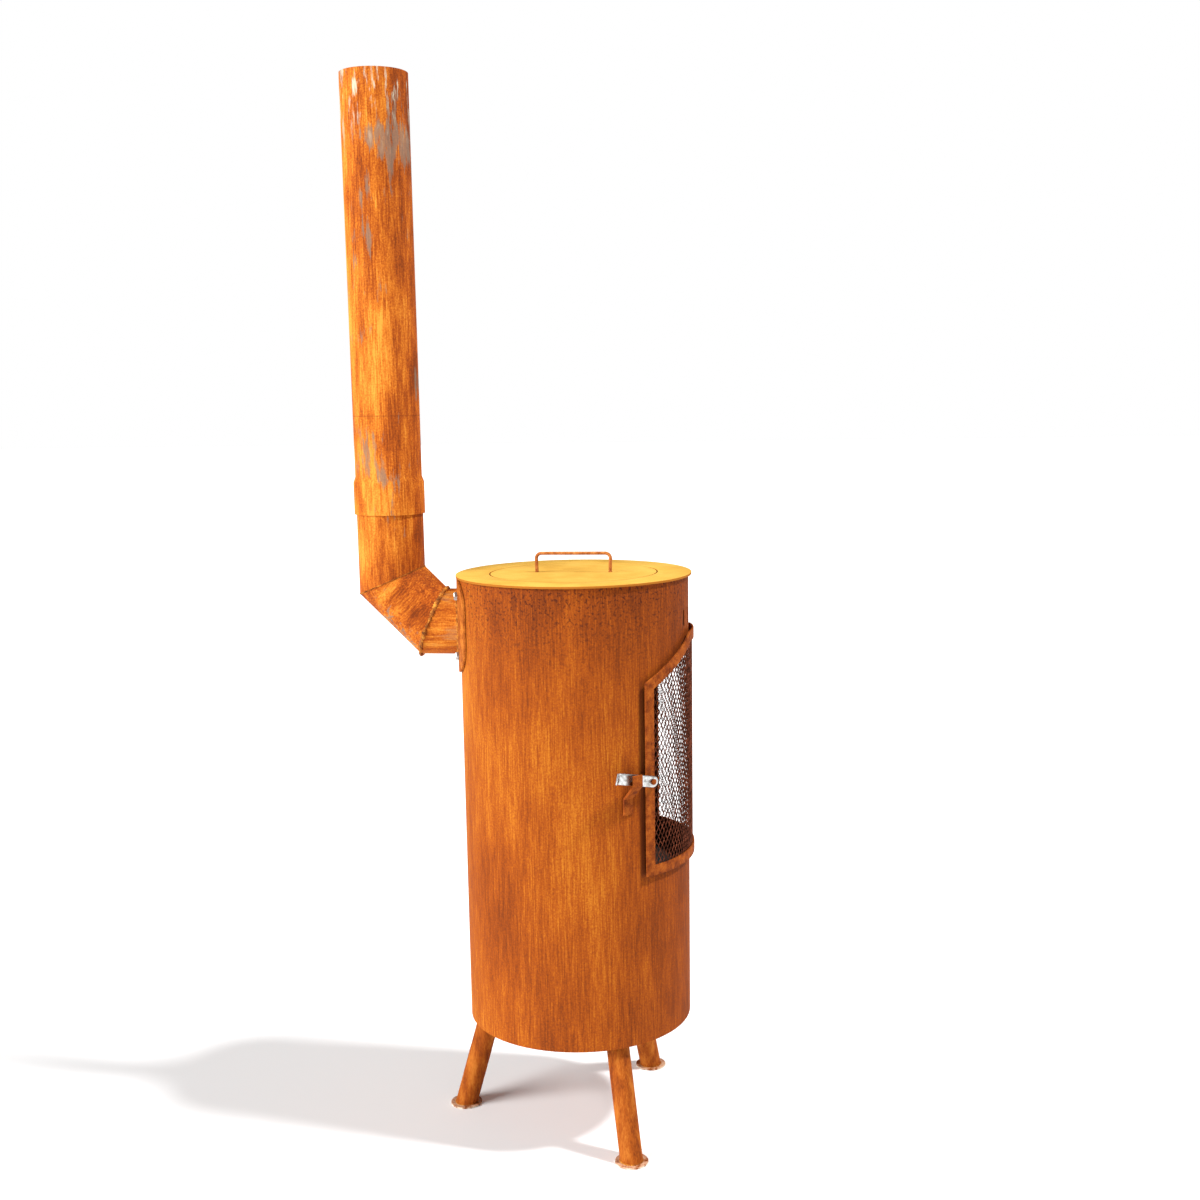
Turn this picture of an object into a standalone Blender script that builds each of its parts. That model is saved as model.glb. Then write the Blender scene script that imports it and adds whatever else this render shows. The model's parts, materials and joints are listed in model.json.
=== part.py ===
"""Garden rocket stove in weathering steel: a drum on three splayed legs, a curved mesh door with a latch
lever, a loose lid in a flat top plate, a lift-out fire grate and a cranked flue with a lift-off chimney.

Metres, +Z up, floor at z = 0. The door faces -Y and the flue leaves the drum towards +Y.
Angles round the drum start at the door's middle (-Y) and grow towards +X.
"""

import math

import bmesh
import bpy
from mathutils import Matrix, Vector

# Gaps and segment counts
GAP = 0.0003              # between pieces that touch or are welded together
PIN_CLEARANCE = 0.0003    # radial, round every pin, bolt and rivet
CUT_MARGIN = 0.010        # how far a cutter runs past the wall it cuts
RIM_CHAMFER = 0.0005
DRUM_SEGMENTS = 72
FLUE_SEGMENTS = 40
SMALL_SEGMENTS = 24
BEND_STEP = 0.016         # longest flat facet of a sheet rolled to the drum's curve

# Drum
DRUM_DIAMETER = 0.400
DRUM_HEIGHT = 0.796
DRUM_WALL = 0.003
DRUM_CLEARANCE = 0.200    # floor to the drum's lower edge
BASE_PLATE_THICKNESS = 0.003
BASE_PLATE_RECESS = 0.0005

# Top plate, lid and its seat
TOP_PLATE_THICKNESS = 0.004
TOP_PLATE_OVERHANG = 0.0055
LID_DIAMETER = 0.290
LID_CLEARANCE = 0.002     # radial, between lid and top plate
SEAT_WIDTH = 0.008        # how far the seat ring reaches under the lid
SEAT_RING_WIDTH = 0.024
SEAT_THICKNESS = 0.003
HANDLE_ROD = 0.006
HANDLE_FOOT_SPACING = 0.129
HANDLE_TOP_SPACING = 0.137
HANDLE_HEIGHT = 0.036
HANDLE_BEND = 0.009

# Legs
LEG_COUNT = 3
LEG_DIAMETER = 0.040
LEG_WALL = 0.0025
LEG_INSET = 0.0365        # drum wall to a leg's axis, where the leg meets the base plate
LEG_SPLAY = math.radians(15.8)
FOOT_DIAMETER = 0.058
FOOT_THICKNESS = 0.003

# Fire floor and grate
FIRE_FLOOR_DROP = 0.030   # below the door's lower edge
FIRE_FLOOR_THICKNESS = 0.003
GRATE_DIAMETER = 0.268    # passes up through the seat ring
GRATE_THICKNESS = 0.005
GRATE_OVERLAP = 0.006     # grate rim resting on the fire floor
GRATE_SLOT_WIDTH = 0.012
GRATE_BAR_WIDTH = 0.016
GRATE_RIM = 0.018

# Door, with its widths as arc lengths at the frame's outer face
DOOR_WIDTH = 0.379
DOOR_SHIFT = 0.0125       # round the drum, from the point opposite the flue to the door's middle
DOOR_FLAT_TOP = 0.101
DOOR_SIDE_HEIGHT = 0.333
DOOR_SLOPE_HEIGHT = 0.070
DOOR_DROP = 0.093         # drum's top edge to the door's top
DOOR_BAR_WIDTH = 0.018
DOOR_BAR_THICKNESS = 0.003
DOOR_STANDOFF = 0.006
OPENING_OVERLAP = 0.005   # how far the frame covers the rim of the drum's opening
MESH_OVERLAP = 0.003      # how far the mesh runs behind the frame
MESH_THICKNESS = 0.0012
MESH_LONG_WAY = 0.060     # four times the fine mesh's pitch, which keeps the sheet light
MESH_SHORT_WAY = 0.035
MESH_STRAND = 0.0064

# Vent slots over the door
VENT_COUNT = 5
VENT_PITCH = 0.0295
VENT_WIDTH = 0.008
VENT_LENGTH = 0.030
VENT_RISE = 0.024         # door's top to the slots' middle

# Door hinges
HINGE_INSET = 0.060       # from each end of the door's straight side
HINGE_BARREL_RADIUS = 0.0065
HINGE_BARREL_LENGTH = 0.022
HINGE_PIN_RADIUS = 0.003
HINGE_LEAF_REACH = 0.024
HINGE_LEAF_THICKNESS = 0.004
HINGE_HEAD_RADIUS = 0.005
HINGE_HEAD_HEIGHT = 0.002
HINGE_RUNNING_GAP = 0.0005
HINGE_OFFSET = 0.0005     # pin's axis outside the frame's outer face
HINGE_LEAF_SETBACK = 0.001

# Latch
LATCH_REST = math.radians(13)
LATCH_LENGTH = 0.086
LATCH_WIDTH = 0.019
LATCH_THICKNESS = 0.0025
LATCH_SPACER = 0.005
LATCH_CURL_START = 0.070
LATCH_CURL_RADIUS = 0.016
LATCH_RIVET_RADIUS = 0.003
LATCH_HEAD_RADIUS = 0.005
LATCH_HEAD_SIDE = 0.0014
LATCH_HEAD_DOME = 0.002
LATCH_HEAD_CROWN = 0.003  # radius of the head's flat top
LATCH_TAIL_RADIUS = 0.004
LATCH_TAIL_HEIGHT = 0.0015
KEEPER_REACH = 0.0395     # along the lever, from its pivot to the hook's middle
KEEPER_WIDTH = 0.019
KEEPER_THICKNESS = 0.004
KEEPER_CLEARANCE = 0.005  # between the lever's face and the hook's prong
KEEPER_SLACK = 0.001      # under the lever's lower edge
KEEPER_FOOT = 0.028

# Flue and chimney
FLUE_DIAMETER = 0.116
FLUE_WALL = 0.002
STUB_SHORT_SIDE = 0.022   # flange to the first mitre, along the stub's top
BEND_SHORT_SIDE = 0.056
RISER_SHORT_SIDE = 0.094  # second mitre to the chimney's foot, on the drum's side
FLANGE_SIDE_WIDTH = 0.044  # past the flue, to each side
FLANGE_TOP_WIDTH = 0.023  # past the flue, above and below
FLANGE_CORNER = 0.045
FLANGE_THICKNESS = 0.0035
FLANGE_STANDOFF = 0.001
FLANGE_DROP = 0.002       # drum's top edge to the flange
FLANGE_BOLT_MARGIN = 0.020  # flue's wall to a bolt's axis
FLANGE_BOLT_SLOPE = math.radians(42)
BOLT_RADIUS = 0.004
BOLT_HEAD_RADIUS = 0.0075
BOLT_HEAD_HEIGHT = 0.0053
BOLT_HEAD_CHAMFER = 0.0011
BOLT_TAIL = 0.004         # shank past the nut
NUT_HEIGHT = 0.0065
CHIMNEY_LENGTH = 0.7365
CHIMNEY_WALL = 0.0025
SOCKET_DEPTH = 0.055
SOCKET_SHOULDER = 0.010
SOCKET_CLEARANCE = 0.0006
SOCKET_WALL = 0.003

# Worked out from the sizes above
UP = Vector((0, 0, 1))
DRUM_RADIUS = DRUM_DIAMETER / 2
DRUM_TOP = DRUM_CLEARANCE + DRUM_HEIGHT
TOP_PLATE_BOTTOM = DRUM_TOP + GAP
TOP_PLATE_TOP = TOP_PLATE_BOTTOM + TOP_PLATE_THICKNESS
DOOR_TOP = DRUM_TOP - DOOR_DROP
DOOR_SHOULDER = DOOR_TOP - DOOR_SLOPE_HEIGHT
DOOR_BOTTOM = DOOR_SHOULDER - DOOR_SIDE_HEIGHT
FIRE_FLOOR_HEIGHT = DOOR_BOTTOM - FIRE_FLOOR_DROP
FRAME_INNER = DRUM_RADIUS + DOOR_STANDOFF
FRAME_OUTER = FRAME_INNER + DOOR_BAR_THICKNESS
MESH_OUTER = FRAME_INNER - GAP
HINGE_RADIUS = FRAME_OUTER + HINGE_OFFSET
HINGE_ANGLE = (DOOR_WIDTH / 2 + DOOR_SHIFT) / FRAME_OUTER + (HINGE_BARREL_RADIUS + GAP) / HINGE_RADIUS
HINGE_HEIGHTS = {"lower": DOOR_BOTTOM + HINGE_INSET, "upper": DOOR_SHOULDER - HINGE_INSET}
LATCH_ANGLE = (DOOR_SHIFT - (DOOR_WIDTH - DOOR_BAR_WIDTH) / 2) / FRAME_OUTER
LATCH_HEIGHT = (DOOR_BOTTOM + DOOR_SHOULDER) / 2
LEVER_BACK = FRAME_OUTER + LATCH_SPACER + 2 * GAP
LEVER_FACE = LEVER_BACK + LATCH_THICKNESS
FLUE_ANGLE = math.pi
FLUE_RADIUS = FLUE_DIAMETER / 2
FLANGE_INNER = DRUM_RADIUS + FLANGE_STANDOFF
FLANGE_OUTER = FLANGE_INNER + FLANGE_THICKNESS
FLUE_HEIGHT = DRUM_TOP - FLANGE_DROP - FLANGE_TOP_WIDTH - FLUE_RADIUS
MITRE_OFFSET = FLUE_RADIUS * math.tan(math.pi / 8)
FLUE_FIRST_BEND = FLANGE_OUTER + STUB_SHORT_SIDE + MITRE_OFFSET
BEND_RUN = (BEND_SHORT_SIDE + 2 * MITRE_OFFSET) / math.sqrt(2)
FLUE_REACH = FLUE_FIRST_BEND + BEND_RUN
CHIMNEY_BOTTOM = FLUE_HEIGHT + BEND_RUN + MITRE_OFFSET + RISER_SHORT_SIDE


def clear_scene():
    for obj in list(bpy.data.objects):
        bpy.data.objects.remove(obj, do_unlink=True)


def make_material(name, colour, roughness, metallic):
    material = bpy.data.materials.new(name)
    material.use_nodes = True
    shader = material.node_tree.nodes["Principled BSDF"]
    shader.inputs["Base Color"].default_value = (*colour, 1)
    shader.inputs["Roughness"].default_value = roughness
    shader.inputs["Metallic"].default_value = metallic
    return material


def outward(angle):
    """Unit vector from the drum's axis at this angle from the door's middle."""
    return Vector((math.sin(angle), -math.cos(angle), 0))


def along(angle):
    """Unit vector along the drum's wall, towards growing angles."""
    return Vector((math.cos(angle), math.sin(angle), 0))


def on_drum(angle, radius, height):
    """Placement whose Z axis points out of the drum, with X along its wall and Y up."""
    turn = Matrix((along(angle), UP, outward(angle))).transposed().to_4x4()
    return Matrix.Translation(outward(angle) * radius + UP * height) @ turn


# Mesh builders


def ring(bm, radius, height, count):
    steps = [math.tau * i / count for i in range(count)]
    return [bm.verts.new((radius * math.cos(a), radius * math.sin(a), height)) for a in steps]


def stitch(bm, one, other):
    """Faces between two rings, where the longer one has a whole multiple of the other's points."""
    many, few = (one, other) if len(one) >= len(other) else (other, one)
    share = len(many) // len(few)
    for i, corner in enumerate(few):
        following = few[(i + 1) % len(few)]
        if share == 1:
            bm.faces.new((corner, following, many[(i + 1) % len(many)], many[i]))
            continue
        for j in range(i * share, (i + 1) * share):
            bm.faces.new((corner, many[j], many[(j + 1) % len(many)]))
        bm.faces.new((corner, following, many[(i + 1) * share % len(many)]))


def loft(bm, rings, closed):
    """A solid through rings of points: a closed loop of them, or capped at both ends."""
    for one, other in zip(rings, rings[1:]):
        stitch(bm, one, other)
    if closed:
        stitch(bm, rings[-1], rings[0])
    else:
        bm.faces.new(rings[0])
        bm.faces.new(rings[-1])
    bmesh.ops.recalc_face_normals(bm, faces=bm.faces[:])
    return bm


def turned(profile, count, closed):
    """A turned shape from (radius, height) or (radius, height, corners) points."""
    bm = bmesh.new()
    rings = [ring(bm, *(point if len(point) == 3 else (*point, count))) for point in profile]
    return loft(bm, rings, closed)


def turned_tube(outer, inner, low, high, count):
    return turned([(outer, low), (outer, high), (inner, high), (inner, low)], count, True)


def turned_disc(radius, low, high, count, edge=RIM_CHAMFER):
    profile = [(radius - edge, low), (radius, low + edge), (radius, high - edge), (radius - edge, high)]
    return turned(profile, count, False)


def plane_end(point, normal):
    """How far along a tube each of its lines runs before it meets this plane."""
    return lambda start, way: (point - start).dot(normal) / way.dot(normal)


def drum_end(radius):
    """How far along a level tube each of its lines runs before it meets a cylinder round the drum's axis."""

    def reach(start, way):
        foot = start.xy.dot(way.xy)
        return math.sqrt(foot**2 + radius**2 - start.xy.length_squared) - foot

    return reach


def cut_tube(start, way, outer, inner, low, high, count):
    """A straight tube whose two ends are each cut to a surface."""
    bm = bmesh.new()
    turn = way.to_track_quat("Z", "Y")
    rings = []
    for radius, end in ((outer, low), (outer, high), (inner, high), (inner, low)):
        lines = [
            start + turn @ Vector((radius * math.cos(a), radius * math.sin(a), 0))
            for a in (math.tau * i / count for i in range(count))
        ]
        rings.append([bm.verts.new(line + way * end(line, way)) for line in lines])
    return loft(bm, rings, True)


def ribbon(path, half_widths, thickness):
    """A flat bar bent along a path of (along, out) points; X is along, Y its width and Z out."""
    bm = bmesh.new()
    points = [Vector(point) for point in path]
    rings = []
    for i, (point, half) in enumerate(zip(points, half_widths)):
        before = (point - points[i - 1]).normalized() if i else None
        after = (points[i + 1] - point).normalized() if i + 1 < len(points) else None
        way = ((before or after) + (after or before)).normalized()
        side = Vector((-way.y, way.x)) * thickness / 2 / way.dot(after or before)
        corners = [(point + side, half), (point + side, -half), (point - side, -half), (point - side, half)]
        rings.append([bm.verts.new((place.x, width, place.y)) for place, width in corners])
    return loft(bm, rings, False)


def flat_sheet(outline, hole=None):
    """A flat face, or a frame between two outlines of as many points, with X as arc and Z as height."""
    bm = bmesh.new()
    outer = [bm.verts.new((x, 0, z)) for x, z in outline]
    if hole:
        stitch(bm, outer, [bm.verts.new((x, 0, z)) for x, z in hole])
    else:
        bm.faces.new(outer)
    reach = max(x for x, _ in outline)
    low = min(x for x, _ in outline)
    steps = math.ceil((reach - low) / BEND_STEP)
    for i in range(1, steps):
        cut_sheet(bm, (low + (reach - low) * i / steps, 0, 0), (1, 0, 0), False)
    return bm


def cut_sheet(bm, point, normal, clear_outer):
    parts = bm.verts[:] + bm.edges[:] + bm.faces[:]
    bmesh.ops.bisect_plane(
        bm, geom=parts, dist=1e-6, plane_co=point, plane_no=normal, clear_outer=clear_outer
    )


def diamond_sheet(outline, long_way, short_way, strand):
    """Expanded metal as a flat sheet: diamonds with strands between them, cut off at a convex outline.

    A whole number of diamonds spans the outline's width, so both sides cut the strands at their joints.
    """
    bm = bmesh.new()
    low = Vector((min(x for x, _ in outline), min(z for _, z in outline)))
    high = Vector((max(x for x, _ in outline), max(z for _, z in outline)))
    middle = (low.x + high.x) / 2
    across = round((high.x - low.x) / short_way)
    half = Vector(((high.x - low.x) / across / 2, long_way / 2))
    hole = 1 - strand / 2 * half.length / (half.x * half.y)
    columns = range(-across - 1, across + 2)
    rows = range(math.floor(low.y / half.y) - 1, math.ceil(high.y / half.y) + 2)
    nodes = {}
    for i in columns:
        for j in rows:
            if (i + j) % 2:
                continue
            around = [(1, 0), (0, 1), (-1, 0), (0, -1)]
            outer = []
            for x, z in around:
                key = (i + x, j + z)
                if key not in nodes:
                    nodes[key] = bm.verts.new((middle + key[0] * half.x, 0, key[1] * half.y))
                outer.append(nodes[key])
            inner = [
                bm.verts.new((middle + (i + hole * x) * half.x, 0, (j + hole * z) * half.y))
                for x, z in around
            ]
            stitch(bm, outer, inner)
    for (x, z), (next_x, next_z) in zip(outline, outline[1:] + outline[:1]):
        cut_sheet(bm, (x, 0, z), (next_z - z, 0, x - next_x), True)
    return bm


def roll_sheet(bm, arc_radius, inner, outer):
    """Thicken a flat sheet and roll it round the drum's axis, from the inner to the outer radius."""
    fronts = bm.verts[:]
    rims = [edge for edge in bm.edges if edge.is_boundary]
    copies = bmesh.ops.duplicate(bm, geom=bm.verts[:] + bm.edges[:] + bm.faces[:])["vert_map"]
    for one, other in [rim.verts for rim in rims]:
        bm.faces.new((one, other, copies[other], copies[one]))
    for vert in fronts:
        angle, height = vert.co.x / arc_radius, vert.co.z
        copies[vert].co = outward(angle) * outer + UP * height
        vert.co = outward(angle) * inner + UP * height
    bmesh.ops.recalc_face_normals(bm, faces=bm.faces[:])
    return bm


# Scene builders


def add_node(name, bm, material, parent, placement=Matrix(), sharp=math.radians(35)):
    """An object from a finished mesh. The placement is in the stove's frame, whatever its parent is."""
    mesh = bpy.data.meshes.new(name)
    bm.to_mesh(mesh)
    bm.free()
    return add_copy(name, mesh, material, parent, placement, sharp)


def add_copy(name, mesh, material, parent, placement=Matrix(), sharp=math.radians(35)):
    obj = bpy.data.objects.new(name, mesh)
    bpy.context.scene.collection.objects.link(obj)
    if not mesh.materials:
        mesh.materials.append(material)
    mesh.shade_smooth()
    mesh.set_sharp_from_angle(angle=sharp)
    obj.parent = parent
    obj.matrix_local = Matrix.Translation(parent.location).inverted() @ placement
    return obj


def add_pivot(name, location, parent=None):
    """An empty at a place in the stove's frame; a child of the stove's own empty, which is at its origin."""
    pivot = bpy.data.objects.new(name, None)
    bpy.context.scene.collection.objects.link(pivot)
    pivot.empty_display_size = 0.05
    pivot.location = location
    pivot.parent = parent
    return pivot


def add_helper(bm, parent):
    """A shape for a Boolean, which is not a piece of the stove."""
    mesh = bpy.data.meshes.new("helper")
    bm.to_mesh(mesh)
    bm.free()
    obj = bpy.data.objects.new("helper", mesh)
    bpy.context.scene.collection.objects.link(obj)
    obj.parent = parent
    obj.hide_render = True
    obj.display_type = "WIRE"
    return obj


def combine(obj, bm, operation, placement=Matrix()):
    """Cut a shape from an object, or join one to it. The shape is in the stove's frame once it is placed."""
    bmesh.ops.transform(bm, matrix=placement, verts=bm.verts[:])
    modifier = obj.modifiers.new(operation.title(), "BOOLEAN")
    modifier.operation = operation
    modifier.solver = "EXACT"
    modifier.object = add_helper(bm, obj.parent)
    modifier.object.matrix_local = Matrix.Translation(obj.parent.location).inverted()


def door_outline(inset):
    """The door's outline as (arc, height) points, moved inwards by a width that is the same on every side."""
    slope = math.atan2(DOOR_TOP - DOOR_SHOULDER, (DOOR_WIDTH - DOOR_FLAT_TOP) / 2)
    side = DOOR_WIDTH / 2 - inset
    shoulder = DOOR_SHOULDER - inset * (1 - math.sin(slope)) / math.cos(slope)
    drop = inset + math.cos(slope) * (DOOR_TOP - inset - DOOR_SHOULDER)
    flat = DOOR_WIDTH / 2 - drop / math.sin(slope)
    low, high = DOOR_BOTTOM + inset, DOOR_TOP - inset
    points = [(-side, low), (side, low), (side, shoulder), (flat, high), (-flat, high), (-side, shoulder)]
    return [(DOOR_SHIFT + x, z) for x, z in points]


def slot_outline(middle, height, width, length, corner_steps=4):
    """An upright slot with round ends."""
    points = []
    for end, start in ((length / 2 - width / 2, 0), (width / 2 - length / 2, math.pi)):
        for i in range(corner_steps + 1):
            angle = start + math.pi * i / corner_steps
            points.append((middle + width / 2 * math.cos(angle), height + end + width / 2 * math.sin(angle)))
    return points


# Sub-parts


def add_drum(root, steel):
    inner = DRUM_RADIUS - DRUM_WALL
    shell = turned_tube(DRUM_RADIUS, inner, DRUM_CLEARANCE, DRUM_TOP, DRUM_SEGMENTS)
    drum = add_node("drum_shell", shell, steel, root)
    through = (inner - DRUM_WALL, DRUM_RADIUS + DRUM_WALL)
    cutters = [door_outline(DOOR_BAR_WIDTH - OPENING_OVERLAP)]
    cutters += [
        slot_outline(
            DOOR_SHIFT + VENT_PITCH * (i - (VENT_COUNT - 1) / 2),
            DOOR_TOP + VENT_RISE,
            VENT_WIDTH,
            VENT_LENGTH,
        )
        for i in range(VENT_COUNT)
    ]
    for outline in cutters:
        combine(drum, roll_sheet(flat_sheet(outline), FRAME_OUTER, *through), "DIFFERENCE")
    bore = turned_disc(FLUE_RADIUS - FLUE_WALL, -FLUE_RADIUS, DRUM_RADIUS, FLUE_SEGMENTS)
    combine(drum, bore, "DIFFERENCE", on_drum(FLUE_ANGLE, DRUM_RADIUS, FLUE_HEIGHT))
    for angle, height in flange_bolt_places():
        combine(drum, bolt_hole(), "DIFFERENCE", on_drum(angle, DRUM_RADIUS, height))
    low = DRUM_CLEARANCE + BASE_PLATE_RECESS
    base = turned_disc(inner - GAP, low, low + BASE_PLATE_THICKNESS, DRUM_SEGMENTS)
    add_node("base_plate", base, steel, root)


def add_top(root, steel):
    hole = LID_DIAMETER / 2 + LID_CLEARANCE
    rim = DRUM_RADIUS + TOP_PLATE_OVERHANG
    plate = turned_tube(rim, hole, TOP_PLATE_BOTTOM, TOP_PLATE_TOP, DRUM_SEGMENTS)
    add_node("top_plate", plate, steel, root)
    seat = LID_DIAMETER / 2 - SEAT_WIDTH
    top = TOP_PLATE_BOTTOM - GAP
    ring_of_seat = turned_tube(seat + SEAT_RING_WIDTH, seat, top - SEAT_THICKNESS, top, DRUM_SEGMENTS)
    add_node("lid_seat_ring", ring_of_seat, steel, root)


def add_lid(root, steel, rod_steel):
    lid = add_pivot("lid", UP * TOP_PLATE_BOTTOM, root)
    plate = turned_disc(LID_DIAMETER / 2, TOP_PLATE_BOTTOM, TOP_PLATE_TOP, DRUM_SEGMENTS)
    add_node("lid_plate", plate, steel, lid)
    curve = bpy.data.curves.new("lid_handle", "CURVE")
    curve.dimensions = "3D"
    curve.bevel_depth = HANDLE_ROD / 2
    curve.bevel_resolution = 2
    curve.use_fill_caps = True
    points = handle_path()
    spline = curve.splines.new("POLY")
    spline.points.add(len(points) - 1)
    for point, place in zip(spline.points, points):
        point.co = (*place, 1)
    curve.materials.append(rod_steel)
    handle = bpy.data.objects.new("lid_handle", curve)
    bpy.context.scene.collection.objects.link(handle)
    handle.parent = lid
    handle.location = UP * (TOP_PLATE_TOP - TOP_PLATE_BOTTOM)


def handle_path(bend_steps=5):
    """The rod's middle line across the lid, from the door to the flue, with a round bend at each corner."""
    foot = HANDLE_FOOT_SPACING / 2
    top = HANDLE_TOP_SPACING / 2 - HANDLE_ROD / 2
    rise = HANDLE_HEIGHT - HANDLE_ROD / 2
    lean = math.atan2(top - foot, rise)
    lowest = GAP + HANDLE_ROD / 2 * math.sin(abs(lean))
    turn = math.pi / 2 + lean
    trim = HANDLE_BEND * math.tan(turn / 2)
    middle = (top - trim, rise - HANDLE_BEND)
    half = [(0, foot + lowest * math.tan(lean), lowest)]
    for i in range(bend_steps + 1):
        angle = -lean + turn * i / bend_steps
        half.append((0, middle[0] + HANDLE_BEND * math.cos(angle), middle[1] + HANDLE_BEND * math.sin(angle)))
    return half + [(0, -y, z) for _, y, z in reversed(half)]


def add_legs(root, steel):
    base = DRUM_CLEARANCE + BASE_PLATE_RECESS - GAP
    foot_radius = DRUM_RADIUS - LEG_INSET + math.tan(LEG_SPLAY) * base
    for i in range(LEG_COUNT):
        angle = FLUE_ANGLE + math.tau * i / LEG_COUNT
        foot = outward(angle) * foot_radius
        way = (UP - outward(angle) * math.tan(LEG_SPLAY)).normalized()
        low = plane_end(UP * (FOOT_THICKNESS + GAP), UP)
        high = plane_end(UP * base, UP)
        tube = cut_tube(foot, way, LEG_DIAMETER / 2, LEG_DIAMETER / 2 - LEG_WALL, low, high, SMALL_SEGMENTS)
        add_node(f"leg_{i + 1}", tube, steel, root)
        disc = turned_disc(FOOT_DIAMETER / 2, 0, FOOT_THICKNESS, SMALL_SEGMENTS)
        add_node(f"foot_disc_{i + 1}", disc, steel, root, Matrix.Translation(foot))


def add_fire_floor(root, steel, cast):
    grate_radius = GRATE_DIAMETER / 2
    low = FIRE_FLOOR_HEIGHT - FIRE_FLOOR_THICKNESS
    reach = DRUM_RADIUS - DRUM_WALL - GAP
    floor = turned_tube(reach, grate_radius - GRATE_OVERLAP, low, FIRE_FLOOR_HEIGHT, DRUM_SEGMENTS)
    add_node("fire_floor_ring", floor, steel, root)
    lift = add_pivot("grate_lift", UP * FIRE_FLOOR_HEIGHT, root)
    bottom = FIRE_FLOOR_HEIGHT + GAP
    disc = turned_disc(grate_radius, bottom, bottom + GRATE_THICKNESS, FLUE_SEGMENTS)
    grate = add_node("fire_grate", disc, cast, lift)
    pitch = GRATE_SLOT_WIDTH + GRATE_BAR_WIDTH
    reach = grate_radius - GRATE_OVERLAP - GRATE_RIM
    count = math.floor(reach / pitch)
    for i in range(-count, count + 1):
        x = i * pitch
        half = math.sqrt(reach**2 - x**2)
        outline = slot_outline(x, 0, GRATE_SLOT_WIDTH, 2 * half)
        slot = bmesh.new()
        lows = [slot.verts.new((a, b, bottom - GRATE_THICKNESS)) for a, b in outline]
        highs = [slot.verts.new((a, b, bottom + 2 * GRATE_THICKNESS)) for a, b in outline]
        combine(grate, loft(slot, [lows, highs], False), "DIFFERENCE")


def add_door(root, steel, mesh_steel, zinc):
    hinge = add_pivot("door_hinge", outward(HINGE_ANGLE) * HINGE_RADIUS, root)
    frame = roll_sheet(
        flat_sheet(door_outline(0), door_outline(DOOR_BAR_WIDTH)), FRAME_OUTER, FRAME_INNER, FRAME_OUTER
    )
    frame = add_node("door_frame", frame, steel, hinge)
    hole = turned_disc(LATCH_RIVET_RADIUS + PIN_CLEARANCE, -CUT_MARGIN, CUT_MARGIN, SMALL_SEGMENTS)
    combine(frame, hole, "DIFFERENCE", on_drum(LATCH_ANGLE, FRAME_OUTER, LATCH_HEIGHT))
    outline = door_outline(DOOR_BAR_WIDTH - MESH_OVERLAP)
    lattice = diamond_sheet(outline, MESH_LONG_WAY, MESH_SHORT_WAY, MESH_STRAND)
    mesh = roll_sheet(lattice, FRAME_OUTER, MESH_OUTER - MESH_THICKNESS, MESH_OUTER)
    add_node("door_mesh", mesh, mesh_steel, hinge)
    for side, height in HINGE_HEIGHTS.items():
        add_hinge(side, height, root, hinge, steel, zinc)
    add_latch(root, hinge, steel, zinc)


def add_hinge(side, height, root, door, steel, zinc):
    """A pin hinge: a barrel with a leaf on the drum, a barrel on the door's edge above it, and their pin."""
    place = on_drum(HINGE_ANGLE, HINGE_RADIUS, height) @ Matrix.Rotation(-math.pi / 2, 4, "X")
    bore = HINGE_PIN_RADIUS + PIN_CLEARANCE
    top = -HINGE_RUNNING_GAP / 2
    bottom = top - HINGE_BARREL_LENGTH
    barrel = turned_disc(HINGE_BARREL_RADIUS, bottom, top, SMALL_SEGMENTS)
    bracket = add_node(f"hinge_bracket_{side}", barrel, steel, root, place)
    start = HINGE_ANGLE * DRUM_RADIUS - HINGE_BARREL_RADIUS / 2
    middle = height + (bottom + top) / 2
    half = HINGE_BARREL_LENGTH / 2 - HINGE_LEAF_SETBACK
    leaf = flat_sheet([
        (start, middle - half),
        (start + HINGE_LEAF_REACH, middle - half),
        (start + HINGE_LEAF_REACH, middle + half),
        (start, middle + half),
    ])
    lowest = DRUM_RADIUS + GAP
    combine(bracket, roll_sheet(leaf, DRUM_RADIUS, lowest, lowest + HINGE_LEAF_THICKNESS), "UNION")
    hole = turned_disc(bore, bottom - CUT_MARGIN, top + CUT_MARGIN, SMALL_SEGMENTS)
    combine(bracket, hole, "DIFFERENCE", place)
    high = -top + HINGE_BARREL_LENGTH
    knuckle = turned_tube(HINGE_BARREL_RADIUS, bore, -top, high, SMALL_SEGMENTS)
    add_node(f"door_knuckle_{side}", knuckle, steel, door, place)
    head = high + PIN_CLEARANCE
    profile = [
        (HINGE_PIN_RADIUS, bottom),
        (HINGE_PIN_RADIUS, head),
        (HINGE_HEAD_RADIUS, head),
        (HINGE_HEAD_RADIUS, head + HINGE_HEAD_HEIGHT),
    ]
    add_node(f"hinge_pin_{side}", turned(profile, SMALL_SEGMENTS, False), zinc, root, place)


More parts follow.
